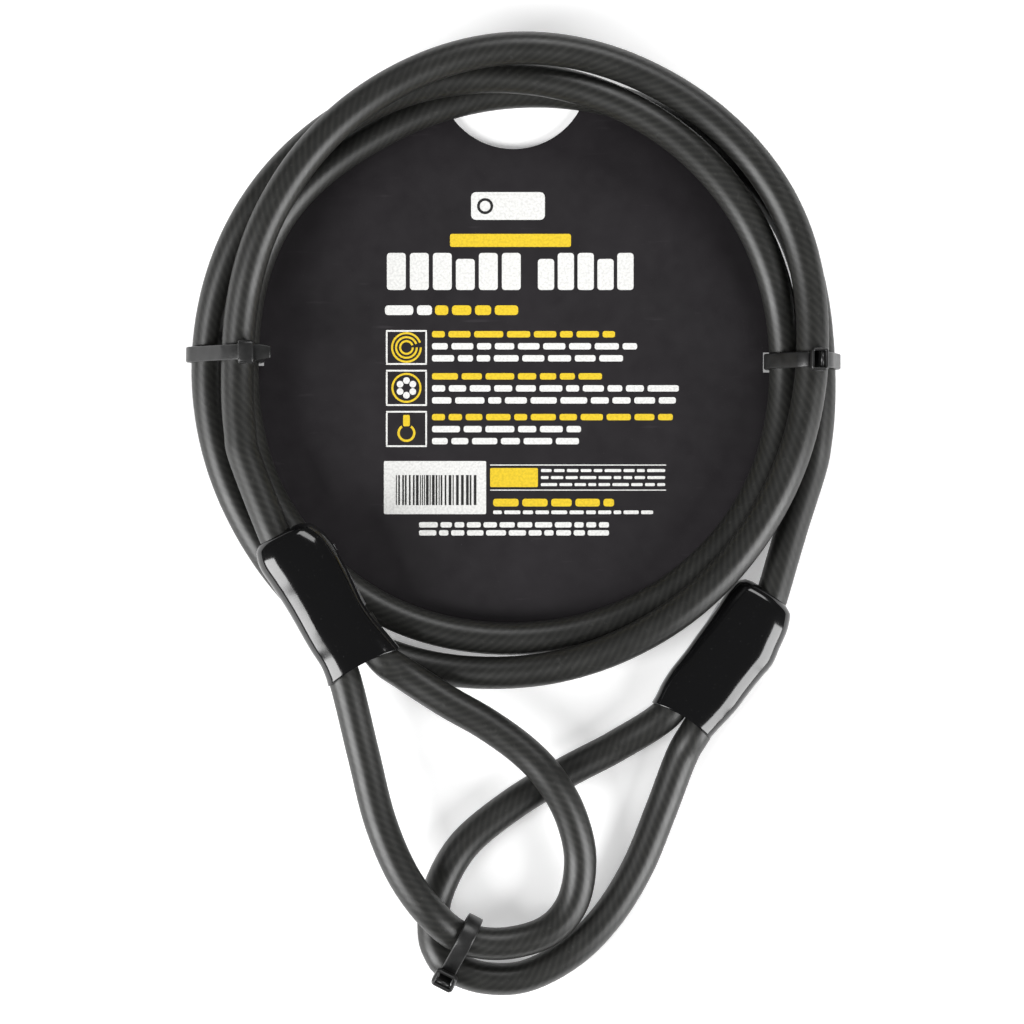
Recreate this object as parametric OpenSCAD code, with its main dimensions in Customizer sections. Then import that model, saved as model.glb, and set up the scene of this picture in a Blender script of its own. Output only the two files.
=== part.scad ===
// Double-loop security cable, coiled for sale on a round backing card.
// The frame: +X to the right and +Y to the top of the card, +Z up from the table.
// The origin is at the bottom centre of the whole object's box.

/* [Cable] */
// Outer diameter of the vinyl jacket
cable_d = 9.7; // [9.4:0.1:9.8]
// Diameter of the steel wire rope inside the jacket
rope_d = 7; // [5:0.5:7.4]
// Sides of the swept jacket and rope
cable_sides = 10; // [8:1:12]
// Angle between two rings of the coil's sweep
coil_step = 20; // [10, 20]

/* [Crimp boots] */
// Length of a boot
boot_l = 44; // [43:0.5:45]
// Width of a boot over the ferrule
boot_w = 21.5; // [21:0.5:23]
// Thickness of a boot
boot_t = 15; // [14:0.5:15]
// Length of a ferrule
ferrule_l = 20; // [16:1:22]
// Width of a ferrule
ferrule_w = 19; // [18.4:0.2:19.4]
// Thickness of a ferrule
ferrule_t = 10; // [9.6:0.2:12]

/* [Cable ties] */
// Width of the strap
strap_w = 4.6; // [3.6:0.1:4.8]
// Thickness of the strap
strap_t = 1.2; // [1:0.1:1.2]
// Width of the head
head_w = 6.9; // [6.4:0.1:7.4]
// Length of the head along its slot
head_l = 4.6; // [4.6:0.1:5.4]

/* [Backing card] */
// Diameter of the card
card_d = 161; // [156:1:162]
// Thickness of the card
card_t = 0.8; // [0.4:0.1:0.8]
// Radius of the hanging notch
notch_r = 22.5; // [18:0.5:24]

/* [Hidden] */

// Clearances
fit = 0.1;                  // between one fixed piece and the next
strap_play = 0.15;          // between a strap and the head's slot

// Heights of the layers
cable_r = cable_d / 2;
strand_slack = 0.4;         // between a strand and the strap round it
card_z = strap_t + fit;     // underside of the card, over the straps
on_card = card_z + card_t + cable_r + fit;
on_floor = cable_r + fit;
on_strap = strap_t + cable_r + strand_slack;

// The coil: centre, and its key points every 30 degrees of 2.7 turns, clockwise.
// Each key is [radius, height]. A later turn lies under or beside the one before.
coil_centre = [0.5, 46, 0];
coil_start = 210;
key_step = 30;
coil_keys = [
    [86.0, 19.4], [81.8, 18.2], [83.4, 23.6], [87.1, 25.2], [90.8, 24.6], [91.6, 19.2],
    [91.4, 16.6], [87.6, 16.8], [87.0, 17.0], [89.2, 15.4], [92.5, 10.4], [95.7, 5.5],
    [93.3, 5.4], [91.5, 8.0], [89.4, 15.4], [86.9, 14.4], [83.2, 17.0], [81.1, 17.4],
    [80.6, 12.4], [80.5, on_card], [82.2, on_card], [82.6, on_card], [82.7, on_card],
    [83.8, on_card], [83.4, on_card], [81.2, on_card], [82.3, on_card], [79.2, on_card],
    [80.1, on_card], [84.4, on_card], [90.8, 5.8], [90.5, on_strap], [95.2, on_floor]
];
coil_lead = 10;
coil_sweep = 950;
coil_end = [83, -3.6, 6.4];   // from the coil's last ring towards the second boot

// The loops, from the crimp boot round and back to it, in millimetres
loop_a_route = [
    [-32, -46.8, 17.2], [-20, -54.6, 16.8], [-8, -61.5, 16.2], [3, -69.5, 15.8], [11, -78, 15.8],
    [17, -89, 14], [19.8, -102, 11.4], [17.5, -115, 10], [10, -123.5, 10], [-3, -127, 11],
    [-15.2, -125, 13.2], [-24, -117.8, 16.4], [-32.6, -106, 16.8], [-39.4, -90, 16.4],
    [-44.4, -70, 16.6]
];
loop_b_route = [
    [50, -72, 6], [44, -88, on_floor], [37, -105, on_floor], [28, -119.5, on_floor],
    [17, -130.5, on_floor], [3.5, -137.5, on_floor], [-9, -137.8, 6], [-18.8, -134, 7.1],
    [-22, -130.3, 6.7], [-23.8, -124.5, 5.6], [-22.8, -113, on_floor], [-15, -98.5, on_floor], [0, -86, on_floor],
    [16, -76.5, on_floor], [31, -68.6, on_floor]
];

// A boot's frame: [centre, heading, mouth-down tilt, side of the standing strand, how far
// that strand is from the axis where it leaves for the coil, and how far the loop's two
// strands are from the axis in the mouth]
boot_a_frame = [[-54.6, -25.2, 19.8], -62, 3, -1, 4.6, 6.3];
boot_b_frame = [[61.6, -42.9, 7.6], -122, 0, 1, 3, 5.1];

// Stations along a boot, from its centre, towards the loop
rope_end = -12;             // cut end of the wire rope
ferrule_start = -14;        // end of the ferrule on the coil's side
jacket_start = 9;           // where the jacket begins again on the loop's side
coil_jacket_end = -16;      // where the coil's jacket ends
strand_in = 4.6;            // half the distance between the ropes in the ferrule

rope_r = rope_d / 2;
jacket_bore_r = rope_r + fit;

// Vectors and curves
function unit(v) = v / norm(v);
function cubic(a, b, c, d, t) =
    b + 0.5 * t * (c - a + t * (2 * a - 5 * b + 4 * c - d + t * (3 * (b - c) + d - a)));
function clamp_index(i, list) = max(0, min(len(list) - 1, i));
function smooth(list, x) = let(i = floor(x))
    cubic(list[clamp_index(i - 1, list)], list[clamp_index(i, list)],
        list[clamp_index(i + 1, list)], list[clamp_index(i + 2, list)], x - i);

// A point on the coil, turned clockwise by angle from its start
function coil_point(angle) = let(key = smooth(coil_keys, angle / key_step))
    coil_centre + [key[0] * cos(coil_start - angle), key[0] * sin(coil_start - angle), key[1]];
coil_route = [for (angle = [coil_lead:coil_step:coil_sweep]) coil_point(angle)];

// A point in a boot's frame: along its axis, across it, and up
function boot_point(frame, along, across, up = 0) =
    let(a = frame[1], tilt = frame[2], run = along * cos(tilt) + up * sin(tilt))
    frame[0] + [run * cos(a) - across * sin(a), run * sin(a) + across * cos(a),
        up * cos(tilt) - along * sin(tilt)];
function crimp(frame, side, stations) =
    [for (s = stations) boot_point(frame, s[0], side * s[1])];
function loop_stations(frame) = [[jacket_start, 5.2], [boot_l / 2, frame[5]]];
bare_stations = [[rope_end, strand_in], [5, strand_in]];
function coil_stations(frame) = [[-boot_l / 2 - 2, frame[4]], [coil_jacket_end, strand_in]];

function reverse(list) = [for (i = [len(list) - 1:-1:0]) list[i]];
dead_a = crimp(boot_a_frame, -boot_a_frame[3], loop_stations(boot_a_frame));
standing_a = crimp(boot_a_frame, boot_a_frame[3], loop_stations(boot_a_frame));
dead_b = crimp(boot_b_frame, -boot_b_frame[3], loop_stations(boot_b_frame));
standing_b = crimp(boot_b_frame, boot_b_frame[3], loop_stations(boot_b_frame));

jacket_a_route = concat(dead_a, loop_a_route, reverse(standing_a));
jacket_b_route = concat(standing_b, loop_b_route, reverse(dead_b));
jacket_coil_route = concat(
    reverse(crimp(boot_a_frame, boot_a_frame[3], coil_stations(boot_a_frame))),
    coil_route,
    [coil_end],
    crimp(boot_b_frame, boot_b_frame[3], coil_stations(boot_b_frame)));
rope_route = concat(
    crimp(boot_a_frame, -boot_a_frame[3], bare_stations),
    jacket_a_route,
    crimp(boot_a_frame, boot_a_frame[3], [[5, strand_in]]),
    jacket_coil_route,
    crimp(boot_b_frame, boot_b_frame[3], [[5, strand_in]]),
    jacket_b_route,
    reverse(crimp(boot_b_frame, -boot_b_frame[3], bare_stations)));

// Sweeps: a ring of points at every point of a route, level across
function heading(route, i) =
    let(last = len(route) - 1)
    i == 0 ? unit(route[1] - route[0])
    : i == last ? unit(route[last] - route[last - 1])
    : unit(unit(route[i] - route[i - 1]) + unit(route[i + 1] - route[i]));
function ring(centre, along, radius) =
    let(side = unit(cross(along, [0, 0, 1])), up = cross(side, along))
    [for (k = [0:cable_sides - 1]) let(a = 360 * (k + 0.5) / cable_sides)
        centre + radius * (cos(a) * side + sin(a) * up)];
function skin_points(route, radius) =
    [for (i = [0:len(route) - 1]) each ring(route[i], heading(route, i), radius)];
function skin_faces(rings, first, outward) =
    [for (i = [0:rings - 2], k = [0:cable_sides - 1])
        let(a = first + i * cable_sides + k,
            b = first + i * cable_sides + (k + 1) % cable_sides,
            c = b + cable_sides, d = a + cable_sides)
        each (outward ? [[a, b, c], [a, c, d]] : [[a, c, b], [a, d, c]])];
function rim_faces(outer, inner, outward) =
    [for (k = [0:cable_sides - 1]) let(n = (k + 1) % cable_sides)
        each (outward ? [[outer + k, inner + k, inner + n], [outer + k, inner + n, outer + n]]
            : [[outer + k, inner + n, inner + k], [outer + k, outer + n, inner + n]])];

module solid_sweep(route, radius) {
    rings = len(route);
    last = (rings - 1) * cable_sides;
    caps = [[for (k = [cable_sides - 1:-1:0]) k], [for (k = [0:cable_sides - 1]) last + k]];
    polyhedron(skin_points(route, radius), concat(skin_faces(rings, 0, true), caps));
}

module hollow_sweep(route, radius, bore) {
    rings = len(route);
    count = rings * cable_sides;
    last = count - cable_sides;
    polyhedron(
        concat(skin_points(route, radius), skin_points(route, bore)),
        concat(skin_faces(rings, 0, true), skin_faces(rings, count, false),
            rim_faces(0, count, true), rim_faces(last, count + last, false)));
}

// The cable
module jacket(route) {
    color([0.17, 0.17, 0.16]) hollow_sweep(route, cable_r, jacket_bore_r);
}
module jacket_coil() {
    jacket(jacket_coil_route);
}
module jacket_loop_a() {
    jacket(jacket_a_route);
}
module jacket_loop_b() {
    jacket(jacket_b_route);
}
module wire_rope() {
    color("silver") solid_sweep(rope_route, rope_r);
}

// Boots and ferrules, drawn along X from the coil's side to the loop's side
module in_boot(frame) {
    translate(frame[0]) rotate([0, frame[2], frame[1]]) children();
}
module along_x(from, length) {
    translate([from, 0, 0]) rotate([90, 0, 90]) linear_extrude(length) children();
}
module flat_oval(width, thick) {
    square([width - thick, thick], center = true);
    for (side = [-1, 1])
        translate([side * (width - thick) / 2, 0]) circle(d = thick, $fn = 32);
}

module ferrule(frame) {
    color("gainsboro") in_boot(frame) difference() {
        along_x(ferrule_start, ferrule_l) flat_oval(ferrule_w, ferrule_t);
        for (side = [-1, 1])
            translate([ferrule_start - 1, side * strand_in, 0]) rotate([0, 90, 0])
                cylinder(h = ferrule_l + 2, r = jacket_bore_r, $fn = 48);
    }
}
module ferrule_a() {
    ferrule(boot_a_frame);
}
module ferrule_b() {
    ferrule(boot_b_frame);
}

// Sockets of a boot: the ferrule's pocket, the loop's two strands and the coil's one
module socket(from, to) {
    run = to - from;
    translate(from) rotate([0, 90, atan2(run[1], run[0])])
        cylinder(h = norm(run), r = cable_r + fit, $fn = 48);
}
module boot_sockets(standing, nose_offset, mouth_offset) {
    along_x(ferrule_start - fit, jacket_start - ferrule_start + 2 * fit)
        flat_oval(ferrule_w + 2 * fit, ferrule_t + 2 * fit);
    for (side = [-1, 1])
        socket([jacket_start - 1.3, side * 5.1, 0], [boot_l / 2 + 6.5, side * (mouth_offset + 0.5), 0]);
    mouth = -boot_l / 2 - 2;
    run = mouth - coil_jacket_end;
    slope = (nose_offset - strand_in) / run;
    socket([mouth - 4, standing * (nose_offset - 4 * slope), 0],
        [ferrule_start, standing * (strand_in + (ferrule_start - coil_jacket_end) * slope), 0]);
}
module boot_slice(at, width, thick) {
    along_x(at, 0.5) flat_oval(width, thick);
}
module boot(frame) {
    nose = -boot_l / 2;
    color([0.06, 0.06, 0.06]) in_boot(frame) difference() {
        union() {
            hull() {
                boot_slice(nose, boot_w - 4, boot_t - 4);
                boot_slice(nose + 3, boot_w, boot_t);
                boot_slice(jacket_start, boot_w, boot_t);
            }
            hull() {
                boot_slice(jacket_start, boot_w, boot_t);
                boot_slice(boot_l / 2 - 0.5, boot_w + 2.5, boot_t - 1.5);
            }
        }
        boot_sockets(frame[3], frame[4], frame[5]);
    }
}
module boot_a() {
    boot(boot_a_frame);
}
module boot_b() {
    boot(boot_b_frame);
}

// Cable ties, drawn in the plane across the strands: X across the bundle, Y up.
// A tie's place: [point under the bundle's zero, direction of X]
left_place = [[0, 47.8, 0], 180];
right_place = [[0, 45.8, 0], 0];
lower_place = [[-18.8, -134, 0], -117];
// The strands in each tie: [across, up, slack round the strand]
left_strands = [[81.3, 18.2, strand_slack], [80.7, on_card, strand_slack], [91, 8, strand_slack]];
right_strands = [[81, on_card, strand_slack], [91, on_strap, strand_slack], [88.1, 16.8, strand_slack]];
lower_strands = [[-0.35, 7.1, 0.95], [-10.1, 13.1, 1.1]];
// Each head: [where the strap's middle enters the slot, the slot's direction, and how far
// below the slot the strap turns up into it]
left_head = [[80.4, 26.8], 90, 0.6];
right_head = [[90.4, 22], 0, 0.4];
lower_head = [[4.4, 13.5], 0, 1.8];
// Where the left and right straps pass through the card, from the middle of the coil
card_slot_at = 75.9;
tail_l = 4.2;               // of the left tie's strap, left sticking out of its head

wall = 1;                   // of the head, outside its slot
pawl_room = 1.7;            // in the slot, beside the strap
slot_near = strap_t / 2 + strap_play;
head_near = slot_near + wall;
slot_far = slot_near + pawl_room;
head_far = slot_far + wall;
pawl_r = 0.42;              // of the pawl's root
pawl_pivot = [pawl_r + 0.08 - slot_far, 1.1];
pawl_side_play = 0.3;

module in_tie(place) {
    translate(place[0]) rotate([90, 0, place[1]]) children();
}
module in_head(head) {
    translate(head[0]) rotate(head[1]) children();
}
module centred(width) {
    translate([0, 0, -width / 2]) linear_extrude(width) children();
}

// Outlines in the plane of a tie
module bundle(strands, growth) {
    for (strand = strands)
        translate([strand[0], strand[1]]) circle(r = cable_r + strand[2] + growth, $fn = 32);
}
module patch(low, high, growth) {
    translate(low - [growth, growth]) square(high - low + 2 * [growth, growth]);
}
module left_loop(growth) {
    bundle(left_strands, growth);
    patch([card_slot_at + strap_t / 2, strap_t], [90, 3], growth);
    patch([card_slot_at + strap_t / 2, 20], [80, left_head[0][1] - strap_t / 2], growth);
}
module right_loop(growth) {
    bundle(right_strands, growth);
    patch([card_slot_at + strap_t / 2, strap_t], [90, 3], growth);
}
module head_outline() {
    translate([-head_far, 0]) square([head_far + head_near, head_l]);
}
module slot_outline() {
    translate([-slot_far, -1]) square([slot_far + slot_near, head_l + 2]);
}
// The strap ends at the head's root side, so its loop is open below the slot
module open_end() {
    translate([-head_far, -3.5]) square([head_far - slot_near, 3.6]);
}
module pawl_outline() {
    translate(pawl_pivot) circle(r = pawl_r, $fn = 24);
    polygon([pawl_pivot + [-0.2, 0.36], pawl_pivot + [0.36, -0.1],
        [-slot_near, 2.7], [-slot_near, 3.4]]);
}

// A tie: the first child is the strap's outside, the second what it goes round
module tie(place, head, tail) {
    color([0.1, 0.1, 0.1]) in_tie(place) {
        centred(strap_w) difference() {
            hull() children(0);
            hull() children(1);
            in_head(head) {
                head_outline();
                open_end();
            }
        }
        centred(strap_w) in_head(head)
            translate([-strap_t / 2, -head[2]]) square([strap_t, head[2] + head_l + tail]);
        difference() {
            centred(head_w) in_head(head) head_outline();
            centred(strap_w + 2 * strap_play) in_head(head) slot_outline();
        }
    }
}
module tie_left() {
    tie(left_place, left_head, tail_l) {
        left_loop(strap_t);
        left_loop(0);
    }
}
module tie_right() {
    tie(right_place, right_head, 0) {
        right_loop(strap_t);
        right_loop(0);
    }
}
module tie_lower() {
    tie(lower_place, lower_head, 0) {
        bundle(lower_strands, strap_t);
        bundle(lower_strands, 0);
    }
}

module pawl(place, head) {
    color([0.1, 0.1, 0.1]) in_tie(place) centred(strap_w - 2 * pawl_side_play) in_head(head)
        pawl_outline();
}
module pawl_left() {
    pawl(left_place, left_head);
}
module pawl_right() {
    pawl(right_place, right_head);
}
module pawl_lower() {
    pawl(lower_place, lower_head);
}

// The backing card, with its hanging notch and a slot for each of the two ties
module backing_card() {
    slot_size = [2.4, 6, card_t + 2];
    card_y = coil_centre[1] + 1.2;
    notch_y = card_y + 85;
    color([0.12, 0.12, 0.13]) translate([0, 0, card_z]) difference() {
        translate([0, card_y, 0]) cylinder(h = card_t, d = card_d, $fn = 96);
        translate([0, notch_y, -1]) cylinder(h = card_t + 2, r = notch_r, $fn = 64);
        for (slot = [[-card_slot_at, left_place[0][1]], [card_slot_at, right_place[0][1]]])
            translate([slot[0], slot[1], 0]) cube(slot_size, center = true);
    }
}

jacket_coil();
jacket_loop_a();
jacket_loop_b();
wire_rope();
ferrule_a();
ferrule_b();
boot_a();
boot_b();
tie_left();
tie_right();
tie_lower();
pawl_left();
pawl_right();
pawl_lower();
backing_card();
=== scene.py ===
import math
import random

import bmesh
import bpy
from mathutils import Matrix, Vector


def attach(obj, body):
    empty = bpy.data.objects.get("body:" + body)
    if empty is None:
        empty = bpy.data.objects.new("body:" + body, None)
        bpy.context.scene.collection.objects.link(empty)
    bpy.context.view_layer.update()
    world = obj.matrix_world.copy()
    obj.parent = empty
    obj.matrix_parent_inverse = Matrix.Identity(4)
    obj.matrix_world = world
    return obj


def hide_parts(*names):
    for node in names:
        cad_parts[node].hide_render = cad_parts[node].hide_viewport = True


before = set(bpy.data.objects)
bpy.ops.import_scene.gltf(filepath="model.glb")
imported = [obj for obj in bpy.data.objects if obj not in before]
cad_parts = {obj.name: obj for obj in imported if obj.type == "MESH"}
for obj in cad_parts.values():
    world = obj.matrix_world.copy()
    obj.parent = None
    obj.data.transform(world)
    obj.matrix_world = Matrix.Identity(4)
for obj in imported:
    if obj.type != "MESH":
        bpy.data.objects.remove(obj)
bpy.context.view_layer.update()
BODY = "lock"

# Sizes of the cable, the boots and the ties, in metres, as the design has them
CABLE_R = 0.00485
BORE_R = 0.0036
ROPE_R = 0.0035
FIT = 0.0001
STRAP_W = 0.0046
STRAP_T = 0.0012
STRAND_SLACK = 0.0004
CARD_T = 0.0008
CARD_TOP = STRAP_T + FIT + CARD_T
ON_CARD = CARD_TOP + CABLE_R + FIT
ON_FLOOR = CABLE_R + FIT
ON_STRAP = STRAP_T + CABLE_R + STRAND_SLACK
BOOT_L = 0.044

# The coil: its centre and its key points, [radius, height] every 30 degrees, clockwise
COIL_CENTRE = Vector((0.0005, 0.046, 0))
COIL_START = 210
KEY_STEP = 30
COIL_LEAD = 10
COIL_SWEEP = 950
COIL_STEP = 5
COIL_KEYS = [
    (0.0860, 0.0194), (0.0818, 0.0182), (0.0834, 0.0236), (0.0871, 0.0252), (0.0908, 0.0246),
    (0.0916, 0.0192), (0.0914, 0.0166), (0.0876, 0.0168), (0.0870, 0.0170), (0.0892, 0.0154),
    (0.0925, 0.0104), (0.0957, 0.0055), (0.0933, 0.0054), (0.0915, 0.0080), (0.0894, 0.0154),
    (0.0869, 0.0144), (0.0832, 0.0170), (0.0811, 0.0174), (0.0806, 0.0124), (0.0805, ON_CARD),
    (0.0822, ON_CARD), (0.0826, ON_CARD), (0.0827, ON_CARD), (0.0838, ON_CARD), (0.0834, ON_CARD),
    (0.0812, ON_CARD), (0.0823, ON_CARD), (0.0792, ON_CARD), (0.0801, ON_CARD), (0.0844, ON_CARD),
    (0.0908, 0.0058), (0.0905, ON_STRAP), (0.0952, ON_FLOOR),
]
COIL_END = (0.083, -0.0036, 0.0064)

# The loops, from the crimp boot round and back to it
LOOP_A = [
    (-0.032, -0.0468, 0.0172), (-0.020, -0.0546, 0.0168), (-0.008, -0.0615, 0.0162),
    (0.003, -0.0695, 0.0158), (0.011, -0.078, 0.0158), (0.017, -0.089, 0.014),
    (0.0198, -0.102, 0.0114), (0.0175, -0.115, 0.010), (0.010, -0.1235, 0.010),
    (-0.003, -0.127, 0.011), (-0.0152, -0.125, 0.0132), (-0.024, -0.1178, 0.0164),
    (-0.0326, -0.106, 0.0168), (-0.0394, -0.090, 0.0164), (-0.0444, -0.070, 0.0166),
]
LOOP_B = [
    (0.050, -0.072, 0.006), (0.044, -0.088, ON_FLOOR), (0.037, -0.105, ON_FLOOR),
    (0.028, -0.1195, ON_FLOOR), (0.017, -0.1305, ON_FLOOR), (0.0035, -0.1375, ON_FLOOR),
    (-0.009, -0.1378, 0.006), (-0.0188, -0.134, 0.0071),
    (-0.022, -0.1303, 0.0067), (-0.0238, -0.1245, 0.0056),
    (-0.0228, -0.113, ON_FLOOR), (-0.015, -0.0985, ON_FLOOR),
    (0, -0.086, ON_FLOOR), (0.016, -0.0765, ON_FLOOR), (0.031, -0.0686, ON_FLOOR),
]

# A boot: centre, heading, mouth-down tilt, side of the standing strand, how far that strand
# is from the axis where it leaves for the coil, and how far the loop's two are in the mouth
BOOT_A = {"at": Vector((-0.0546, -0.0252, 0.0198)), "heading": -62, "tilt": 3, "side": -1,
          "nose": 0.0046, "mouth": 0.0063}
BOOT_B = {"at": Vector((0.0616, -0.0429, 0.0076)), "heading": -122, "tilt": 0, "side": 1,
          "nose": 0.003, "mouth": 0.0051}
STRAND_IN = 0.0046
BARE_STATIONS = [(-0.012, STRAND_IN), (0.005, STRAND_IN)]
CRIMP_STATION = [(0.005, STRAND_IN)]
COIL_JACKET_END = (-0.016, STRAND_IN)


# ---------------------------------------------------------------- curves
FINE_STEPS = 24


def cubic(a, b, c, d, t):
    """The Catmull-Rom curve from b to c."""
    return b + 0.5 * t * (c - a + t * (2 * a - 5 * b + 4 * c - d + t * (3 * (b - c) + d - a)))


def smooth(values, x):
    """A list of values read at x, between its items too."""
    i = int(math.floor(x))
    last = len(values) - 1
    near = [values[max(0, min(last, i + k))] for k in (-1, 0, 1, 2)]
    return cubic(*near, x - i)


def table(rows, x, column):
    """A column of given rows [x, ...], smooth between the rows."""
    i = max(k for k, row in enumerate(rows) if row[0] <= x or k == 0)
    i = min(i, len(rows) - 2)
    t = (x - rows[i][0]) / (rows[i + 1][0] - rows[i][0])
    t = max(0.0, min(1.0, t))
    return smooth([row[column] for row in rows], i + t)


def coil_point(angle):
    """The coil's centreline, turned clockwise by angle from its start."""
    x = angle / KEY_STEP
    radius = smooth([key[0] for key in COIL_KEYS], x)
    height = smooth([key[1] for key in COIL_KEYS], x)
    a = math.radians(COIL_START - angle)
    return COIL_CENTRE + Vector((radius * math.cos(a), radius * math.sin(a), height))


def boot_matrix(boot):
    """From a boot's own frame (along, across, up) to the object's frame."""
    turn = Matrix.Rotation(math.radians(boot["heading"]), 4, "Z")
    tilt = Matrix.Rotation(math.radians(boot["tilt"]), 4, "Y")
    return Matrix.Translation(boot["at"]) @ turn @ tilt


def crimp(boot, side, stations):
    """Stations on one of the two strands inside a boot."""
    return [boot_matrix(boot) @ Vector((along, side * across, 0)) for along, across in stations]


def loop_stations(boot):
    return [(0.009, 0.0052), (BOOT_L / 2, boot["mouth"])]


def coil_stations(boot):
    return [(-BOOT_L / 2 - 0.002, boot["nose"]), COIL_JACKET_END]


def routes():
    """The centrelines of the three jackets and of the rope, through the design's points."""
    side_a, side_b = BOOT_A["side"], BOOT_B["side"]
    dead_a = crimp(BOOT_A, -side_a, loop_stations(BOOT_A))
    standing_a = crimp(BOOT_A, side_a, loop_stations(BOOT_A))
    dead_b = crimp(BOOT_B, -side_b, loop_stations(BOOT_B))
    standing_b = crimp(BOOT_B, side_b, loop_stations(BOOT_B))
    loop_a = dead_a + [Vector(p) for p in LOOP_A] + standing_a[::-1]
    loop_b = standing_b + [Vector(p) for p in LOOP_B] + dead_b[::-1]
    turns = [coil_point(a) for a in range(COIL_LEAD, COIL_SWEEP + 1, COIL_STEP)]
    coil = crimp(BOOT_A, side_a, coil_stations(BOOT_A))[::-1] + turns + [Vector(COIL_END)]
    coil += crimp(BOOT_B, side_b, coil_stations(BOOT_B))
    rope = crimp(BOOT_A, -side_a, BARE_STATIONS) + loop_a
    rope += crimp(BOOT_A, side_a, CRIMP_STATION) + coil
    rope += crimp(BOOT_B, side_b, CRIMP_STATION) + loop_b
    rope += crimp(BOOT_B, -side_b, BARE_STATIONS)[::-1]
    return {"coil": coil, "loop_a": loop_a, "loop_b": loop_b, "rope": rope}


def even(points, spacing, closed=False):
    """Points a fixed distance apart along the smooth curve through the given ones."""
    count = len(points)
    fine = []
    spans = count if closed else count - 1
    for i in range(spans):
        near = []
        for k in (-1, 0, 1, 2):
            near.append(points[(i + k) % count] if closed else points[max(0, min(count - 1, i + k))])
        fine += [cubic(*near, t / FINE_STEPS) for t in range(FINE_STEPS)]
    fine.append(points[0] if closed else points[-1])
    run = [0.0]
    for a, b in zip(fine, fine[1:]):
        run.append(run[-1] + (b - a).length)
    steps = max(2, round(run[-1] / spacing))
    out, j = [], 0
    for s in range(steps + 1):
        want = run[-1] * s / steps
        while j < len(fine) - 2 and run[j + 1] < want:
            j += 1
        t = (want - run[j]) / max(1e-12, run[j + 1] - run[j])
        out.append(fine[j].lerp(fine[j + 1], t))
    return out[:-1] if closed else out


# ---------------------------------------------------------------- meshes
def new_object(name, verts, faces, material, smooth_faces=True):
    mesh = bpy.data.meshes.new(name)
    mesh.from_pydata([tuple(v) for v in verts], [], faces)
    mesh.validate()
    for polygon in mesh.polygons:
        polygon.use_smooth = smooth_faces
    obj = bpy.data.objects.new(name, mesh)
    bpy.context.scene.collection.objects.link(obj)
    obj.data.materials.append(material)
    return obj


def outward(obj):
    """Turns every face to point out of its solid."""
    shape = bmesh.new()
    shape.from_mesh(obj.data)
    bmesh.ops.recalc_face_normals(shape, faces=shape.faces)
    shape.to_mesh(obj.data)
    shape.free()


def bridge(first, second, count):
    """Quads between two rings of count points."""
    return [(first + k, first + (k + 1) % count, second + (k + 1) % count, second + k)
            for k in range(count)]


def frames(points):
    """Heading, level side and up at every point of a centreline."""
    out = []
    for i in range(len(points)):
        a = points[max(0, i - 1)]
        b = points[min(len(points) - 1, i + 1)]
        along = (b - a).normalized()
        side = along.cross(Vector((0, 0, 1))).normalized()
        out.append((along, side, side.cross(along)))
    return out


def ring_points(centre, side, up, radius, sides):
    """A round ring; radius is a number or a function of the angle."""
    out = []
    for k in range(sides):
        a = 2 * math.pi * k / sides
        r = radius(a) if callable(radius) else radius
        out.append(centre + r * (math.cos(a) * side + math.sin(a) * up))
    return out


def lay_uv(obj, sides, spacing, lay):
    """A map round and along a tube, for the streaks of the strands: one turn a lay length."""
    layer = obj.data.uv_layers.new(name="lay")
    for polygon in obj.data.polygons:
        for loop in polygon.loop_indices:
            vertex = obj.data.loops[loop].vertex_index
            row, k = divmod(vertex, sides)
            layer.data[loop].uv = (k / sides, row * spacing / lay)


# ---------------------------------------------------------------- materials
def material(name):
    """A new node material: the material, its nodes, its links and its shader."""
    made = bpy.data.materials.new(name)
    made.use_nodes = True
    tree = made.node_tree
    return made, tree.nodes, tree.links, tree.nodes["Principled BSDF"]


def noise(nodes, links, scale, detail=4.0, stretch=(1, 1, 1)):
    """Noise in the object's own coordinates."""
    place = nodes.new("ShaderNodeTexCoord")
    mapping = nodes.new("ShaderNodeMapping")
    mapping.inputs["Scale"].default_value = stretch
    texture = nodes.new("ShaderNodeTexNoise")
    texture.inputs["Scale"].default_value = scale
    texture.inputs["Detail"].default_value = detail
    links.new(place.outputs["Object"], mapping.inputs["Vector"])
    links.new(mapping.outputs["Vector"], texture.inputs["Vector"])
    return texture.outputs["Fac"]


def ramp(nodes, links, source, stops):
    """A colour ramp with stops [(place, colour)]."""
    node = nodes.new("ShaderNodeValToRGB")
    while len(node.color_ramp.elements) < len(stops):
        node.color_ramp.elements.new(0.5)
    for element, (place, colour) in zip(node.color_ramp.elements, stops):
        element.position = place
        element.color = (*colour, 1)
    links.new(source, node.inputs["Fac"])
    return node.outputs["Color"]


def grey(value):
    return (value, value, value)


def spread(nodes, links, source, low, high):
    """Maps 0..1 to low..high."""
    node = nodes.new("ShaderNodeMapRange")
    node.inputs["To Min"].default_value = low
    node.inputs["To Max"].default_value = high
    links.new(source, node.inputs["Value"])
    return node.outputs["Result"]


def mix(nodes, links, a, b, factor, blend="MIX"):
    """Two colours mixed; each of a, b and factor is a socket or a value."""
    node = nodes.new("ShaderNodeMix")
    node.data_type = "RGBA"
    node.blend_type = blend
    for value, socket in ((factor, node.inputs[0]), (a, node.inputs[6]), (b, node.inputs[7])):
        if isinstance(value, bpy.types.NodeSocket):
            links.new(value, socket)
        elif isinstance(value, tuple):
            socket.default_value = (*value, 1)
        else:
            socket.default_value = value
    return node.outputs[2]


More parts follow.
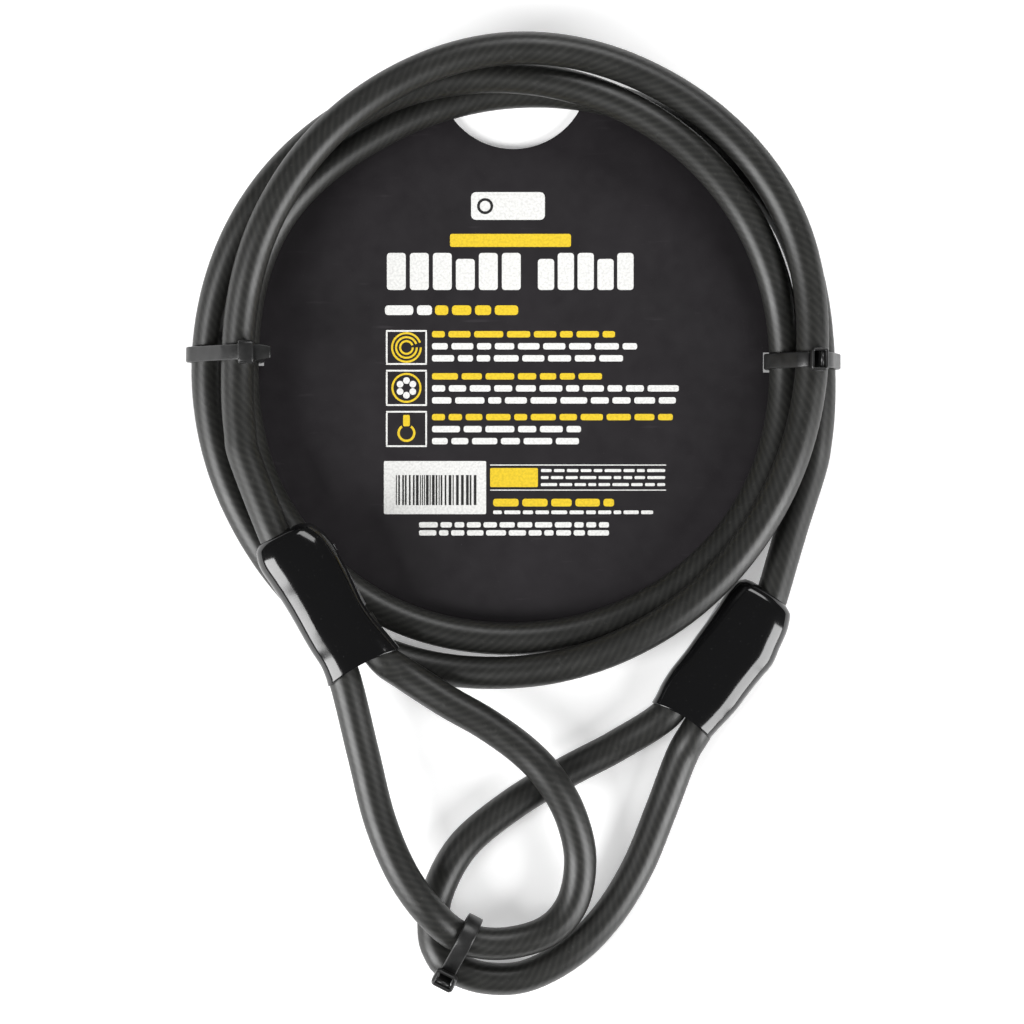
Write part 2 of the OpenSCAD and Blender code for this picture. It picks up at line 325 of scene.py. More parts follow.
def bump(nodes, links, shader, source, strength, distance):
    node = nodes.new("ShaderNodeBump")
    node.inputs["Strength"].default_value = strength
    node.inputs["Distance"].default_value = distance
    links.new(source, node.inputs["Height"])
    links.new(node.outputs["Normal"], shader.inputs["Normal"])


def strand_bands(nodes, links, strands):
    """Soft bands that run round the tube once a lay, as the strands under the vinyl do."""
    where = nodes.new("ShaderNodeUVMap")
    where.uv_map = "lay"
    parts = nodes.new("ShaderNodeSeparateXYZ")
    links.new(where.outputs["UV"], parts.inputs["Vector"])
    difference = nodes.new("ShaderNodeMath")
    difference.operation = "SUBTRACT"
    links.new(parts.outputs["X"], difference.inputs[0])
    links.new(parts.outputs["Y"], difference.inputs[1])
    turns = nodes.new("ShaderNodeMath")
    turns.operation = "MULTIPLY"
    turns.inputs[1].default_value = 2 * math.pi * strands
    links.new(difference.outputs["Value"], turns.inputs[0])
    wave = nodes.new("ShaderNodeMath")
    wave.operation = "SINE"
    links.new(turns.outputs["Value"], wave.inputs[0])
    half = nodes.new("ShaderNodeMath")
    half.operation = "MULTIPLY_ADD"
    half.inputs[1].default_value = 0.5
    half.inputs[2].default_value = 0.5
    links.new(wave.outputs["Value"], half.inputs[0])
    return half.outputs["Value"]


def vinyl_material():
    """Smoky translucent vinyl: the steel strands show as soft diagonal streaks."""
    made, nodes, links, shader = material("vinyl")
    bands = strand_bands(nodes, links, JACKET_STREAKS)
    patches = noise(nodes, links, 90, 3)
    streaks = mix(nodes, links, bands, patches, 0.55)
    tone = ramp(nodes, links, streaks, [
        (0.20, (0.0068, 0.0069, 0.0062)), (0.55, (0.0118, 0.0119, 0.0106)),
        (0.85, (0.0195, 0.0195, 0.0175))])
    scuffs = ramp(nodes, links, noise(nodes, links, 700, 6, (1, 1, 0.3)), [
        (0.60, grey(0.0)), (0.78, grey(0.35))])
    colour = mix(nodes, links, tone, (0.055, 0.055, 0.052), scuffs)
    links.new(colour, shader.inputs["Base Color"])
    links.new(spread(nodes, links, noise(nodes, links, 260), 0.34, 0.48), shader.inputs["Roughness"])
    shader.inputs["IOR"].default_value = 1.53
    bump(nodes, links, shader, streaks, 0.25, 0.00006)
    return made


def steel_material():
    """Bright galvanised wire, its tone varying at random."""
    made, nodes, links, shader = material("galvanised_wire")
    tone = ramp(nodes, links, noise(nodes, links, 900, 6), [
        (0.3, grey(0.35)), (0.7, grey(0.68))])
    links.new(tone, shader.inputs["Base Color"])
    shader.inputs["Metallic"].default_value = 1.0
    links.new(spread(nodes, links, noise(nodes, links, 1500), 0.25, 0.5), shader.inputs["Roughness"])
    return made


def ferrule_material():
    """Pressed aluminium with fine die marks."""
    made, nodes, links, shader = material("pressed_aluminium")
    tone = ramp(nodes, links, noise(nodes, links, 400, 5, (1, 1, 6)), [
        (0.3, (0.62, 0.63, 0.65)), (0.7, (0.8, 0.81, 0.83))])
    links.new(tone, shader.inputs["Base Color"])
    shader.inputs["Metallic"].default_value = 1.0
    links.new(spread(nodes, links, noise(nodes, links, 700), 0.3, 0.5), shader.inputs["Roughness"])
    bump(nodes, links, shader, noise(nodes, links, 1200, 6), 0.2, 0.0001)
    return made


def boot_material():
    """Glossy black moulded PVC, with a slow ripple, fine dust and light wear."""
    made, nodes, links, shader = material("glossy_boot")
    dust = ramp(nodes, links, noise(nodes, links, 1300, 8), [
        (0.66, grey(0.0)), (0.80, grey(0.5))])
    colour = mix(nodes, links, (0.0035, 0.0035, 0.0038), (0.05, 0.05, 0.05), dust)
    links.new(colour, shader.inputs["Base Color"])
    links.new(spread(nodes, links, noise(nodes, links, 120), 0.07, 0.16), shader.inputs["Roughness"])
    shader.inputs["IOR"].default_value = 1.54
    bump(nodes, links, shader, noise(nodes, links, 70, 2), 0.25, 0.0004)
    return made


def nylon_material():
    """Black nylon of the cable ties: satin, with faint flow marks."""
    made, nodes, links, shader = material("black_nylon")
    tone = ramp(nodes, links, noise(nodes, links, 350, 5), [
        (0.3, grey(0.008)), (0.75, grey(0.02))])
    links.new(tone, shader.inputs["Base Color"])
    links.new(spread(nodes, links, noise(nodes, links, 500), 0.26, 0.42), shader.inputs["Roughness"])
    bump(nodes, links, shader, noise(nodes, links, 900, 6), 0.25, 0.00008)
    return made


def card_material():
    """Printed board, black with a touch of purple, with creases and rub marks."""
    made, nodes, links, shader = material("printed_board")
    cloud = noise(nodes, links, 25, 6)
    tone = ramp(nodes, links, cloud, [
        (0.3, (0.0052, 0.0036, 0.0052)), (0.7, (0.0090, 0.0066, 0.0090))])
    specks = ramp(nodes, links, noise(nodes, links, 1900, 3), [
        (0.70, grey(0.0)), (0.76, grey(0.25))])
    rubs = ramp(nodes, links, noise(nodes, links, 60, 8, (1, 9, 1)), [
        (0.66, grey(0.0)), (0.74, grey(0.12))])
    worn = mix(nodes, links, tone, (0.12, 0.11, 0.12), specks)
    colour = mix(nodes, links, worn, (0.10, 0.09, 0.10), rubs)
    links.new(colour, shader.inputs["Base Color"])
    links.new(spread(nodes, links, noise(nodes, links, 200), 0.40, 0.55), shader.inputs["Roughness"])
    bump(nodes, links, shader, noise(nodes, links, 1400, 4), 0.15, 0.00005)
    return made


def ink_material(name, colour):
    """A printing ink, slightly uneven over the board's grain."""
    made, nodes, links, shader = material(name)
    darker = tuple(0.82 * c for c in colour)
    tone = ramp(nodes, links, noise(nodes, links, 1400, 5), [(0.35, darker), (0.6, colour)])
    links.new(tone, shader.inputs["Base Color"])
    links.new(spread(nodes, links, noise(nodes, links, 600), 0.4, 0.55), shader.inputs["Roughness"])
    return made


def floor_material():
    made, nodes, links, shader = material("pale_floor")
    tone = ramp(nodes, links, noise(nodes, links, 8, 2), [(0.3, grey(0.93)), (0.7, grey(0.95))])
    links.new(tone, shader.inputs["Base Color"])
    shader.inputs["Roughness"].default_value = 0.9
    shader.inputs["Specular IOR Level"].default_value = 0.1
    shader.inputs["Emission Color"].default_value = (1, 1, 1, 1)
    shader.inputs["Emission Strength"].default_value = 0.30
    return made


# ---------------------------------------------------------------- camera, light and floor
CAMERA_AT = (-0.00045, 0.00104, 1.0)
CAMERA_LENS = 117.19
SENSOR = 36.0
CLIP_START = 0.05
WORLD_LIGHT = 0.10
LIGHTS_AIM = (0, -0.02, 0)
# Name, place, width, height and power in watts
SOFTBOXES = [
    ("left_softbox", (-0.85, -0.42, 0.62), 0.5, 0.9, 17),
    ("right_softbox", (0.85, -0.50, 0.50), 0.5, 0.9, 14),
    ("back_softbox", (0.35, 1.0, 0.9), 0.9, 0.5, 8),
]
FLOOR_HALF = 2.0
FLOOR_CELLS = 8
FLOOR_LEVEL = -0.00002


def make_camera():
    data = bpy.data.cameras.new("camera")
    data.lens = CAMERA_LENS
    data.sensor_width = SENSOR
    data.clip_start = CLIP_START
    camera = bpy.data.objects.new("camera", data)
    camera.location = CAMERA_AT
    bpy.context.scene.collection.objects.link(camera)
    bpy.context.scene.camera = camera


def softbox(name, at, width, height, power):
    data = bpy.data.lights.new(name, "AREA")
    data.shape = "RECTANGLE"
    data.size = width
    data.size_y = height
    data.energy = power
    light = bpy.data.objects.new(name, data)
    light.location = at
    light.rotation_mode = "QUATERNION"
    light.rotation_quaternion = (Vector(LIGHTS_AIM) - Vector(at)).to_track_quat("-Z", "Y")
    bpy.context.scene.collection.objects.link(light)


def make_studio():
    world = bpy.data.worlds.new("studio")
    world.use_nodes = True
    world.node_tree.nodes["Background"].inputs["Color"].default_value = (1, 1, 1, 1)
    world.node_tree.nodes["Background"].inputs["Strength"].default_value = WORLD_LIGHT
    bpy.context.scene.world = world
    bpy.context.scene.view_settings.view_transform = "Standard"
    for values in SOFTBOXES:
        softbox(*values)


def make_floor():
    rows = FLOOR_CELLS + 1
    ticks = [FLOOR_HALF * (2 * i / FLOOR_CELLS - 1) for i in range(rows)]
    verts = [(x, y, FLOOR_LEVEL) for x in ticks for y in ticks]
    faces = []
    for i in range(FLOOR_CELLS):
        for j in range(FLOOR_CELLS):
            a = i * rows + j
            faces.append((a, a + rows, a + rows + 1, a + 1))
    new_object("floor", verts, faces, floor_material())


# ---------------------------------------------------------------- the cable
JACKET_SIDES = 24
RING_SPACING = 0.0015
LAY = 0.034
ROPE_SIDES = 36
ROPE_STRANDS = 6
ROPE_SPACING = 0.002
JACKET_STREAKS = 12
STRAND_RELIEF = 0.00004
ROPE_RELIEF = 0.0005

# Real lengths along the centrelines
COIL_LENGTH = 1.50
LOOP_A_LENGTH = 0.254
LOOP_B_LENGTH = 0.254


def relief(strands, depth, radius, turned):
    """The radius round a ring, raised over each strand; turned is how far the lay has gone."""
    return lambda a: radius - depth * (1 - abs(math.cos(strands * (a - turned) / 2)))


def jacket_tube(name, route, node, paint):
    """A vinyl jacket: its outside shows a trace of the strands, its bore holds the rope."""
    points = even(route, RING_SPACING)
    verts = []
    for i, (centre, (along, side, up)) in enumerate(zip(points, frames(points))):
        turned = 2 * math.pi * i * RING_SPACING / LAY
        skin = relief(JACKET_STREAKS, STRAND_RELIEF, CABLE_R, turned)
        verts += ring_points(centre, side, up, skin, JACKET_SIDES)
    inner = len(verts)
    for centre, (along, side, up) in zip(points, frames(points)):
        verts += ring_points(centre, side, up, BORE_R, JACKET_SIDES)
    rings = len(points)
    faces = []
    for i in range(rings - 1):
        row = i * JACKET_SIDES
        faces += bridge(row, row + JACKET_SIDES, JACKET_SIDES)
        faces += bridge(inner + row + JACKET_SIDES, inner + row, JACKET_SIDES)
    last = (rings - 1) * JACKET_SIDES
    faces += bridge(inner, 0, JACKET_SIDES)
    faces += bridge(last, inner + last, JACKET_SIDES)
    tube = new_object(name, verts, faces, paint)
    outward(tube)
    lay_uv(tube, JACKET_SIDES, RING_SPACING, LAY)
    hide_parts(node)
    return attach(tube, BODY), points


def wire_rope(route, paint):
    """Six strands laid round each other, one solid from cut end to cut end."""
    points = even(route, ROPE_SPACING)
    verts, faces = [], []
    for i, (centre, (along, side, up)) in enumerate(zip(points, frames(points))):
        turned = 2 * math.pi * i * ROPE_SPACING / LAY
        skin = relief(ROPE_STRANDS, ROPE_RELIEF, ROPE_R, turned)
        verts += ring_points(centre, side, up, skin, ROPE_SIDES)
        if i:
            faces += bridge((i - 1) * ROPE_SIDES, i * ROPE_SIDES, ROPE_SIDES)
    faces.append(tuple(range(ROPE_SIDES - 1, -1, -1)))
    last = (len(points) - 1) * ROPE_SIDES
    faces.append(tuple(range(last, last + ROPE_SIDES)))
    rope = new_object("steel_wire_rope", verts, faces, paint)
    outward(rope)
    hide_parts("wire_rope")
    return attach(rope, BODY), points


def length_of(points):
    return sum((b - a).length for a, b in zip(points, points[1:]))


def make_cable():
    paths = routes()
    vinyl = vinyl_material()
    jobs = [
        ("vinyl_jacket_coil", "coil", "jacket_coil", COIL_LENGTH, "coiled"),
        ("vinyl_jacket_loop_a", "loop_a", "jacket_loop_a", LOOP_A_LENGTH, "loose"),
        ("vinyl_jacket_loop_b", "loop_b", "jacket_loop_b", LOOP_B_LENGTH, "loose"),
    ]
    for name, route, node, length, lay in jobs:
        tube, points = jacket_tube(name, paths[route], node, vinyl)
        print(name, "is", round(length_of(points), 4), "m long")
    rope, points = wire_rope(paths["rope"], steel_material())
    print("rope is", round(length_of(points), 4), "m long")


# ---------------------------------------------------------------- the boots
# Rows of a boot's outline: along, out to the standing strand's side, out to the dead end's
# side, half thickness. The bulge near the nose is the ferrule under the skin.
BOOT_A_ROWS = [
    (-0.0246, 0.0070, 0.0010, 0.0022), (-0.0243, 0.0098, 0.0034, 0.0050),
    (-0.0225, 0.0118, 0.0066, 0.0068), (-0.0180, 0.0129, 0.0087, 0.0078),
    (-0.0120, 0.0124, 0.0095, 0.0079), (-0.0060, 0.0118, 0.0095, 0.0076),
    (0.0000, 0.0115, 0.0093, 0.0073), (0.0060, 0.0114, 0.0092, 0.0070),
    (0.0110, 0.0112, 0.0098, 0.0068), (0.0160, 0.0108, 0.0108, 0.0067),
    (0.0200, 0.0112, 0.0117, 0.0069), (0.0222, 0.0117, 0.0122, 0.0071),
]
BOOT_B_ROWS = [
    (-0.0248, 0.0040, 0.0046, 0.0022), (-0.0244, 0.0070, 0.0064, 0.0048),
    (-0.0225, 0.0104, 0.0082, 0.0065), (-0.0180, 0.0122, 0.0090, 0.0074),
    (-0.0120, 0.0131, 0.0092, 0.0075), (-0.0070, 0.0138, 0.0095, 0.0074),
    (-0.0020, 0.0131, 0.0099, 0.0072), (0.0040, 0.0124, 0.0103, 0.0070),
    (0.0100, 0.0119, 0.0110, 0.0067), (0.0150, 0.0110, 0.0111, 0.0066),
    (0.0190, 0.0102, 0.0107, 0.0067), (0.0216, 0.0098, 0.0106, 0.0069),
]
BOOT_SIDES = 64
BOOT_RINGS = 56
BOOT_SQUARENESS = 2.7
BOOT_WALL = 0.0011
MOUTH_DEPTH = 0.009
MOUTH_HOLLOW = 0.0016
MOUTH_BOW_FROM = 0.012
RING_EASE = 0.35
# Depth into the mouth and wall there, from the lip to the mouth's floor
MOUTH_ROWS = [(0.0002, 0.0005), (0.0006, BOOT_WALL), (0.004, BOOT_WALL),
              (MOUTH_DEPTH, BOOT_WALL + 0.0008)]


def boot_section(rows, at, side, shrink):
    """One cross-section of a boot, a rounded oval that is wider on the standing side."""
    standing = table(rows, at, 1) - shrink
    dead = table(rows, at, 2) - shrink
    thick = table(rows, at, 3) - shrink
    middle, half = side * (standing - dead) / 2, (standing + dead) / 2
    power = 2 / BOOT_SQUARENESS
    out = []
    for k in range(BOOT_SIDES):
        a = 2 * math.pi * k / BOOT_SIDES
        c, s = math.cos(a), math.sin(a)
        across = middle + half * math.copysign(abs(c) ** power, c)
        up = thick * math.copysign(abs(s) ** power, s)
        out.append((across, up, c))
    return out


def boot_shell(name, boot, rows, node, paint):
    """A moulded boot: rounded nose, ferrule bulge, waist and an open flared mouth."""
    place = boot_matrix(boot)
    start, end = rows[0][0], rows[-1][0]
    rings = []
    for i in range(BOOT_RINGS + 1):
        t = i / BOOT_RINGS
        at = start + (end - start) * (t * t * (3 - 2 * t) * RING_EASE + t * (1 - RING_EASE))
        bow = max(0.0, (at - MOUTH_BOW_FROM) / (end - MOUTH_BOW_FROM))
        ring = []
        for across, up, c in boot_section(rows, at, boot["side"], 0.0):
            back = MOUTH_HOLLOW * bow * bow * (1 - abs(c) ** 1.5)
            ring.append(Vector((at - back, across, up)))
        rings.append(ring)
    for depth, wall in MOUTH_ROWS:
        ring = []
        for across, up, c in boot_section(rows, end - depth, boot["side"], wall):
            back = MOUTH_HOLLOW * (1 - abs(c) ** 1.5) * (1 - depth / MOUTH_DEPTH)
            ring.append(Vector((end - depth - back, across, up)))
        rings.append(ring)
    verts = [place @ point for ring in rings for point in ring]
    faces = []
    for i in range(len(rings) - 1):
        faces += bridge(i * BOOT_SIDES, (i + 1) * BOOT_SIDES, BOOT_SIDES)
    for ring, first in ((rings[0], 0), (rings[-1], (len(rings) - 1) * BOOT_SIDES)):
        middle = sum(ring, Vector()) / BOOT_SIDES
        verts.append(place @ middle)
        hub = len(verts) - 1
        faces += [(hub, first + k, first + (k + 1) % BOOT_SIDES) for k in range(BOOT_SIDES)]
    shell = new_object(name, verts, faces, paint)
    outward(shell)
    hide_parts(node)
    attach(shell, BODY)


def make_boots():
    paint = boot_material()
    boot_shell("moulded_boot_a", BOOT_A, BOOT_A_ROWS, "boot_a", paint)
    boot_shell("moulded_boot_b", BOOT_B, BOOT_B_ROWS, "boot_b", paint)


# ---------------------------------------------------------------- the cable ties
HEAD_FAR = 0.00345
HEAD_NEAR = 0.00175
HEAD_L = 0.0046
HEAD_W = 0.0069
SLOT_FAR = 0.00245
SLOT_NEAR = 0.00075
CARD_SLOT_AT = 0.0759
TAIL_L = 0.0042
STRAP_SPACING = 0.0006
STRAP_EDGE = 0.0004
SLOT_FIT = 0.00015
# A tie: its plane's place and heading; how long its tail is; each strand it holds (across, up,
# slack); the boxes it also goes round; its head's place and its slot's direction; and how far
# below the head the strap's line breaks off
TIES = [
    {"name": "left", "at": (0, 0.0478, 0), "heading": 180, "tail": TAIL_L,
     "strands": [(0.0813, 0.0182, STRAND_SLACK), (0.0807, ON_CARD, STRAND_SLACK),
                 (0.091, 0.008, STRAND_SLACK)],
     "patches": [(CARD_SLOT_AT + STRAP_T / 2, STRAP_T, 0.090, 0.003),
                 (CARD_SLOT_AT + STRAP_T / 2, 0.020, 0.080, 0.0262)],
     "head": (0.0804, 0.0268), "slot": 90, "drop": 0.0006},
    {"name": "right", "at": (0, 0.0458, 0), "heading": 0, "tail": 0.0,
     "strands": [(0.081, ON_CARD, STRAND_SLACK), (0.091, ON_STRAP, STRAND_SLACK),
                 (0.0881, 0.0168, STRAND_SLACK)],
     "patches": [(CARD_SLOT_AT + STRAP_T / 2, STRAP_T, 0.090, 0.003)],
     "head": (0.0904, 0.022), "slot": 0, "drop": 0.0004},
    {"name": "lower", "at": (-0.0188, -0.134, 0), "heading": -117, "tail": 0.0,
     "strands": [(-0.00035, 0.0071, 0.00095), (-0.0101, 0.0131, 0.0011)], "patches": [],
     "head": (0.0044, 0.0135), "slot": 0, "drop": 0.0018},
]


def tie_matrix(tie):
    """From the plane of a tie (across, up, width) to the object's frame."""
    turn = Matrix.Rotation(math.radians(tie["heading"]), 4, "Z")
    stand = Matrix.Rotation(math.pi / 2, 4, "X")
    return Matrix.Translation(Vector(tie["at"])) @ turn @ stand


def head_matrix(tie):
    """From a head's frame (thickness, along the slot, width) to the tie's plane."""
    return (Matrix.Translation(Vector((*tie["head"], 0)))
            @ Matrix.Rotation(math.radians(tie["slot"]), 4, "Z"))


def hull(points):
    """The convex outline of points in a plane, counterclockwise."""
    points = sorted(set(points))

    def half(sequence):
        out = []
        for p in sequence:
            while len(out) > 1:
                (ax, ay), (bx, by) = out[-2], out[-1]
                if (bx - ax) * (p[1] - ay) - (by - ay) * (p[0] - ax) > 0:
                    break
                out.pop()
            out.append(p)
        return out[:-1]

    return half(points) + half(points[::-1])


def strap_line(tie):
    """The middle of the strap: from the head's root, round the strands, and up the slot."""
    grow = STRAP_T / 2
    cloud = []
    for x, y, slack in tie["strands"]:
        r = CABLE_R + slack + grow
        cloud += [(round(x + r * math.cos(a), 7), round(y + r * math.sin(a), 7))
                  for a in (2 * math.pi * k / 72 for k in range(72))]
    for x0, y0, x1, y1 in tie["patches"]:
        for x, y in ((x0, y0), (x1, y0), (x1, y1), (x0, y1)):
            cloud += [(round(x + grow * math.cos(a), 7), round(y + grow * math.sin(a), 7))
                      for a in (2 * math.pi * k / 16 for k in range(16))]
    outline = [Vector((x, y, 0)) for x, y in hull(cloud)]
    dense = []
    for a, b in zip(outline, outline[1:] + outline[:1]):
        pieces = max(1, round((b - a).length / 0.0005))
        dense += [a.lerp(b, k / pieces) for k in range(pieces)]
    to_head = head_matrix(tie).inverted()

    def under_head(point):
        p = to_head @ point
        low = -tie["drop"] - 0.0008
        return -HEAD_FAR + 0.0004 < p.x < 0.0014 and low < p.y < HEAD_L + 0.0002

    first = next(i for i, p in enumerate(dense)
                 if not under_head(p) and under_head(dense[i - 1]))
    line = [p for p in dense[first:] + dense[:first] if not under_head(p)]
    slot_mouth = head_matrix(tie) @ Vector((0, 0, 0))
    if (line[0] - slot_mouth).length < (line[-1] - slot_mouth).length:
        line.reverse()
    up_slot = [(0.0, 0.0006), (0.0, HEAD_L / 2), (0.0, HEAD_L - 0.0006 + 1.3 * tie["tail"])]
    line += [head_matrix(tie) @ Vector((x, y, 0)) for x, y in up_slot]
    return even(line, STRAP_SPACING)


def strap_profile():
    """The strap's section (thickness, width) with rounded edges."""
    r, out = STRAP_EDGE, []
    w, t = STRAP_W / 2 - r, STRAP_T / 2 - r
    for corner, (a, b) in enumerate(((t, w), (-t, w), (-t, -w), (t, -w))):
        for k in range(4):
            angle = math.pi / 2 * (corner + k / 3)
            out.append((a + r * math.cos(angle), b + r * math.sin(angle)))
    return out


def tie_strap(tie, paint):
    line = strap_line(tie)
    profile = strap_profile()
    count = len(profile)
    verts, faces = [], []
    for i, p in enumerate(line):
        along = (line[min(len(line) - 1, i + 1)] - line[max(0, i - 1)]).normalized()
        out = Vector((along.y, -along.x, 0))
        left = len(line) - 1 - i
        taper = 1.0 if left > 5 or not tie["tail"] else 0.75 + 0.05 * left
        for t, w in profile:
            verts.append(p + t * out + Vector((0, 0, w * taper)))
        if i:
            faces += bridge((i - 1) * count, i * count, count)
    faces.append(tuple(range(count)))
    faces.append(tuple(range(len(verts) - count, len(verts))))
    place = tie_matrix(tie)
    strap = new_object("tie_strap_" + tie["name"], [place @ v for v in verts], faces, paint)
    outward(strap)
    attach(strap, BODY)


def rounded_rectangle(x0, x1, z0, z1, r, steps=5):
    """A rectangle with round corners in a head's (thickness, width) plane."""
    out = []
    for corner, (x, z) in enumerate(((x1 - r, z1 - r), (x0 + r, z1 - r), (x0 + r, z0 + r),
                                     (x1 - r, z0 + r))):
        for k in range(steps + 1):
            a = math.pi / 2 * (corner + k / steps)
            out.append((x + r * math.cos(a), z + r * math.sin(a)))
    return out


def tie_head(tie, paint):
    """The ratchet head: a rounded block with the slot through it."""
    half = HEAD_W / 2
    slot_half = STRAP_W / 2 + SLOT_FIT

    def outer(inset):
        return rounded_rectangle(-HEAD_FAR + inset, HEAD_NEAR - inset,
                                 -half + inset, half - inset, 0.0012 - inset / 2)

    def inner(grow):
        return rounded_rectangle(-SLOT_FAR - grow, SLOT_NEAR + grow,
                                 -slot_half - grow, slot_half + grow, 0.0003 + grow / 2)

    levels = [(outer(0.0004), 0.0), (outer(0.0001), 0.0002), (outer(0), 0.0005),
              (outer(0), HEAD_L - 0.0007), (outer(0.0001), HEAD_L - 0.0003),
              (outer(0.0004), HEAD_L), (inner(0.00025), HEAD_L), (inner(0), HEAD_L - 0.0003),
              (inner(0), 0.0003), (inner(0.00025), 0.0)]
    place = tie_matrix(tie) @ head_matrix(tie)
    verts, faces = [], []
    for ring, y in levels:
        verts += [place @ Vector((x, y, z)) for x, z in ring]
    count = len(levels[0][0])
    for i in range(len(levels)):
        faces += bridge(i * count, (i + 1) % len(levels) * count, count)
    head = new_object("tie_head_" + tie["name"], verts, faces, paint)
    outward(head)
    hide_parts("tie_" + tie["name"])
    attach(head, BODY)


def make_ties():
    paint = nylon_material()
    for tie in TIES:
        tie_head(tie, paint)
        tie_strap(tie, paint)
        give(("pawl_" + tie["name"],), paint)


# ---------------------------------------------------------------- the card and its print
INK_T = 0.00004
PRINT_LEFT = -0.0382


def bar(store, x0, x1, y0, y1, r=0.0003):
    """A flat printed shape with slightly round corners, as a thin closed solid."""
    r = min(r, (x1 - x0) / 2.01, (y1 - y0) / 2.01)
    shape = rounded_rectangle(x0, x1, y0, y1, r, 3)
    polygon(store, shape)


def polygon(store, shape):
    verts, faces = store
    first, count = len(verts), len(shape)
    for z in (CARD_TOP + 0.00001, CARD_TOP + INK_T):
        verts += [(x, y, z) for x, y in shape]
    faces.append(tuple(first + count + k for k in range(count)))
    faces.append(tuple(first + k for k in range(count - 1, -1, -1)))
    faces += bridge(first, first + count, count)


def outline_box(store, x0, x1, y0, y1, line=0.0005):
    bar(store, x0, x1, y1 - line, y1)
    bar(store, x0, x1, y0, y0 + line)
    bar(store, x0, x0 + line, y0 + line, y1 - line)
    bar(store, x1 - line, x1, y0 + line, y1 - line)


def arc_band(store, x, y, radius, line, start, stop):
    """A printed arc, from start to stop in degrees."""
    steps = max(8, int(abs(stop - start) / 9))
    angles = [math.radians(start + (stop - start) * k / steps) for k in range(steps + 1)]
    for a, b in zip(angles, angles[1:]):
        shape = []
        for r, angle in ((radius + line, a), (radius + line, b), (radius, b), (radius, a)):
            shape.append((x + r * math.cos(angle), y + r * math.sin(angle)))
        polygon(store, shape)


def words(store, dice, x0, x1, y0, y1, low=0.0035, high=0.009, gap=0.0011):
    """A line of plain bars as long as words, with no lettering."""
    x = x0
    while x < x1 - 0.001:
        end = min(x1, x + dice.uniform(low, high))
        if x1 - end < low:
            end = x1
        bar(store, x, end, y0, y1, (y1 - y0) / 3)
        x = end + gap


def title(store, dice, x0, x1, y0, y1, pitch):
    """Heavy blocks in place of a title's letters."""
    count = round((x1 - x0) / pitch)
    step = (x1 - x0) / count
    for k in range(count):
        short = dice.choice((0.0, 0.0, 0.0018))
        bar(store, x0 + k * step, x0 + (k + 0.82) * step, y0, y1 - short, 0.0009)


def icons(white, yellow):
    """Three framed pictograms of the builder's own: a coil, a rope's end and a loop."""
    boxes = [(0.0451, 0.0555), (0.0328, 0.0436), (0.0205, 0.0313)]
    x0, x1 = PRINT_LEFT, PRINT_LEFT + 0.0123
    middle = (x0 + x1) / 2
    for y0, y1 in boxes:
        outline_box(white, x0, x1, y0, y1)
    y = sum(boxes[0]) / 2
    for radius in (0.0016, 0.0028, 0.0040):
        arc_band(yellow, middle, y, radius, 0.0006, 20, 360)
    y = sum(boxes[1]) / 2
    for k in range(6):
        a = math.radians(60 * k + 30)
        arc_band(white, middle + 0.0022 * math.cos(a), y + 0.0022 * math.sin(a), 0.0, 0.001, 0, 360)
    arc_band(yellow, middle, y, 0.0039, 0.0006, 0, 360)
    y = sum(boxes[2]) / 2
    arc_band(yellow, middle, y - 0.0012, 0.0020, 0.0007, -235, 55)
    bar(yellow, middle - 0.0010, middle + 0.0010, y + 0.0008, y + 0.0042, 0.0004)


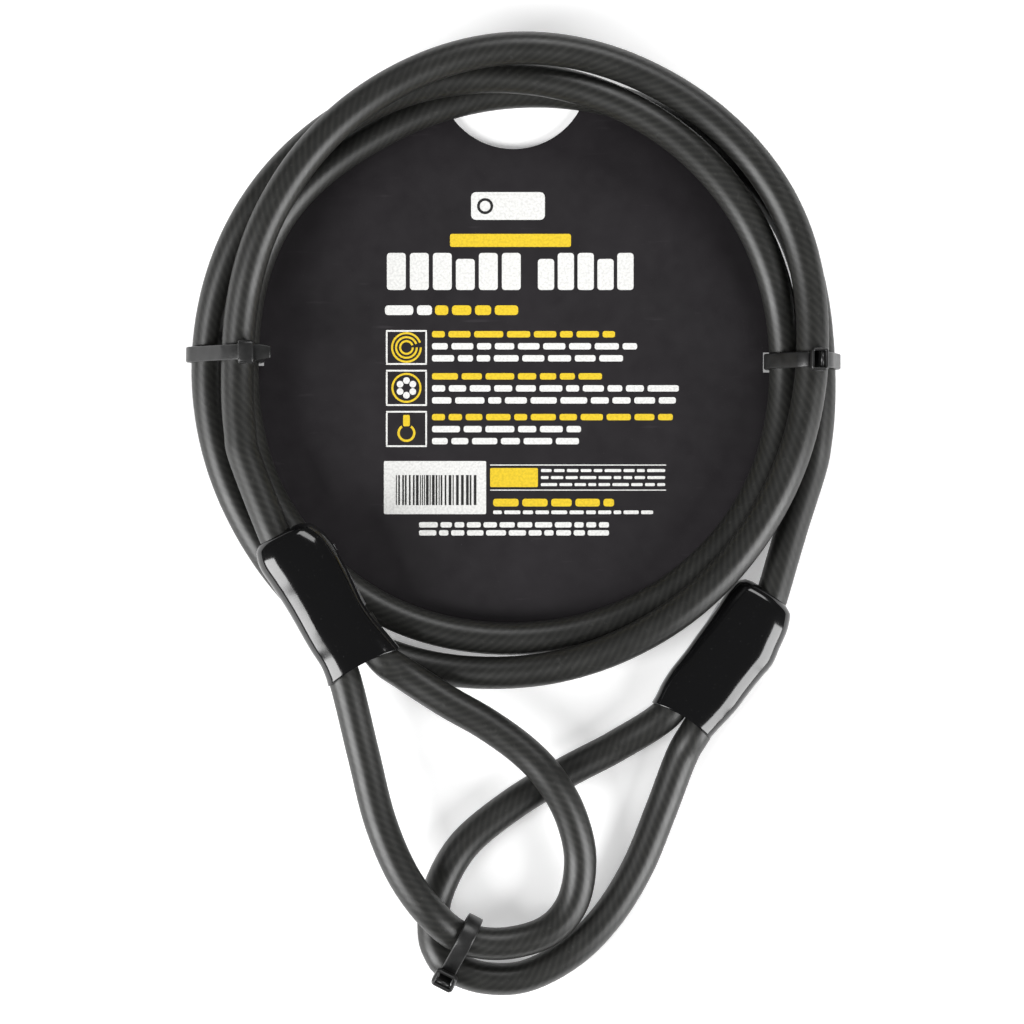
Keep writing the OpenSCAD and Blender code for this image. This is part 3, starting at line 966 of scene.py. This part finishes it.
def make_print():
    """Plain shapes where the card has its print."""
    dice = random.Random(7)
    white, yellow, black = ([], []), ([], []), ([], [])
    bar(white, -0.0127, 0.0094, 0.0885, 0.0968, 0.0014)
    arc_band(black, -0.0085, 0.0926, 0.0016, 0.0008, 0, 360)
    bar(yellow, -0.0190, 0.0172, 0.0804, 0.0843, 0.0006)
    title(white, dice, -0.0379, 0.0034, 0.0675, 0.0786, 0.0069)
    title(white, dice, 0.0073, 0.0370, 0.0675, 0.0786, 0.0060)
    words(white, dice, -0.0385, -0.0244, 0.0600, 0.0629)
    words(yellow, dice, -0.0235, 0.0014, 0.0600, 0.0629)
    icons(white, yellow)
    blocks = [(0.0552, (0.0304, 0.0370, 0.0328)), (0.0426, (0.0265, 0.0495, 0.0486)),
              (0.0304, (0.0477, 0.0202, 0.0196))]
    for top, ends in blocks:
        for row, end in enumerate(ends):
            y = top - 0.0036 * row
            words(yellow if row == 0 else white, dice, -0.0244, end, y - 0.0019, y)
    bar(white, -0.0388, -0.0082, 0.0004, 0.0163, 0.0004)
    x = -0.0352
    while x < -0.0110:
        width = dice.choice((0.0003, 0.0005, 0.0008))
        bar(black, x, x + width, 0.0031, 0.0121, 0.00005)
        x += width + dice.choice((0.0003, 0.0004, 0.0007))
    for y in (0.0151, 0.0076):
        bar(white, -0.0070, 0.0457, y - 0.00015, y + 0.00015, 0.0001)
    bar(yellow, -0.0070, 0.0073, 0.0085, 0.0142, 0.0004)
    for row in range(3):
        y = 0.0139 - 0.0021 * row
        words(white, dice, 0.0082, 0.0454, y - 0.0009, y, 0.002, 0.005, 0.0007)
    words(yellow, dice, -0.0061, 0.0301, 0.0027, 0.0050)
    words(white, dice, -0.0061, 0.0418, 0.0004, 0.0015, 0.002, 0.005, 0.0007)
    words(white, dice, -0.0283, 0.0286, -0.0036, -0.0020, 0.002, 0.006, 0.0008)
    words(white, dice, -0.0283, 0.0286, -0.0060, -0.0044, 0.002, 0.006, 0.0008)
    inks = [("white", white, (0.80, 0.80, 0.78)), ("yellow", yellow, (0.78, 0.55, 0.02)),
            ("black", black, (0.012, 0.012, 0.012))]
    for name, store, colour in inks:
        lift = INK_T if name == "black" else 0.0
        verts = [(x, y, z + lift) for x, y, z in store[0]]
        piece = new_object("card_print_" + name, verts, store[1],
                           ink_material(name + "_ink", colour), smooth_faces=False)
        outward(piece)
        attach(piece, BODY)


def give(names, paint):
    """Gives CAD nodes a finished material."""
    for name in names:
        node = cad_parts[name]
        node.data.materials.clear()
        node.data.materials.append(paint)


make_camera()
make_cable()
make_boots()
make_ties()
give(("ferrule_a", "ferrule_b"), ferrule_material())
give(("backing_card",), card_material())
make_print()
make_floor()
make_studio()
